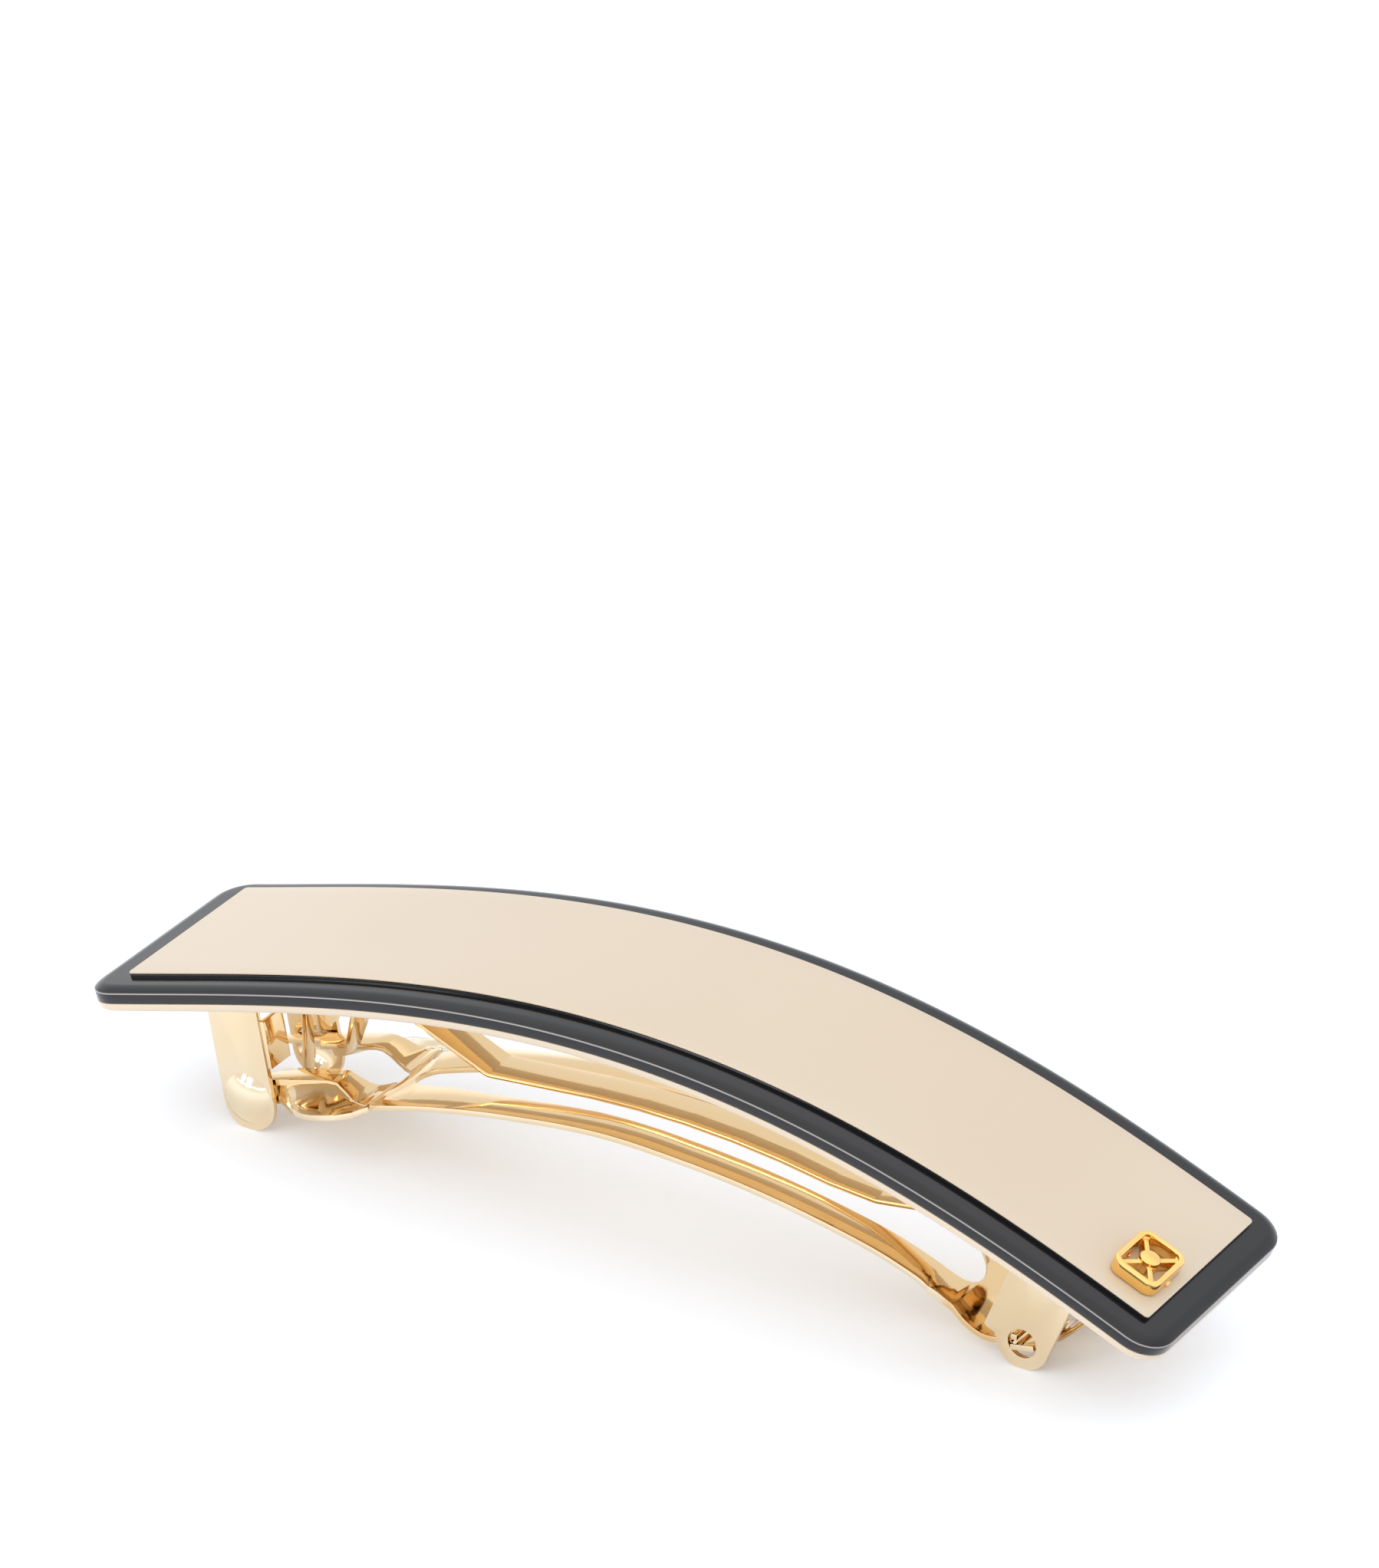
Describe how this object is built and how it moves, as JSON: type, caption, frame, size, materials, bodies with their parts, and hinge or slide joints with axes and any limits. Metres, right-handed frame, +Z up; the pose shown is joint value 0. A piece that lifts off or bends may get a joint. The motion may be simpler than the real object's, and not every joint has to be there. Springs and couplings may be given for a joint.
{
  "type": "barrette",
  "caption": "Long bow-backed hair barrette in laminated cream and black acetate, on a gold-plated sprung clip with a swinging clasp arm.",
  "frame": {"origin": "on the ground under the middle of the object's box", "axes": "+X along the length toward the hinged end with the badge, +Y across the width away from the badge's side, +Z up through the ornament"},
  "size_m": [0.0984, 0.0218, 0.0218],
  "materials": {
    "cream_acetate": "polished",
    "black_acetate": "polished",
    "gold_plate": "bright plated",
    "badge_gold": "polished cast"
  },
  "bodies": {
    "ornament": {"top_panel": "cream_acetate", "black_plate": "black_acetate", "backing_layer": "cream_acetate", "badge": "badge_gold", "base_strip": "gold_plate", "base_rivet_1": "gold_plate", "base_rivet_2": "gold_plate"},
    "clasp": {"clasp_arm": "gold_plate"},
    "spring": {"tension_spring": "gold_plate"},
    "prong_near": {"latch_prong_near": "gold_plate"},
    "prong_far": {"latch_prong_far": "gold_plate"}
  },
  "joints": [
    {"name": "arm_hinge", "type": "hinge", "parent": "ornament", "child": "clasp", "pos_m": [0.03463, 0, 0.00222], "axis": [0, -1, 0], "range_deg": [0, 95]},
    {"name": "spring_swing", "type": "hinge", "parent": "ornament", "child": "spring", "pos_m": [0.03388, 0, 0.00255], "axis": [0, -1, 0], "range_deg": [0, 6]},
    {"name": "prong_near_squeeze", "type": "slide", "parent": "clasp", "child": "prong_near", "axis": [0, 1, 0], "range_m": [0, 0.0005], "stiffness_N_per_m": 2000},
    {"name": "prong_far_squeeze", "type": "slide", "parent": "clasp", "child": "prong_far", "axis": [0, -1, 0], "range_m": [0, 0.0005], "stiffness_N_per_m": 2000}
  ],
  "couplings": [
    {"joint": "spring_swing", "follows": "arm_hinge", "ratio": 0.06}
  ]
}
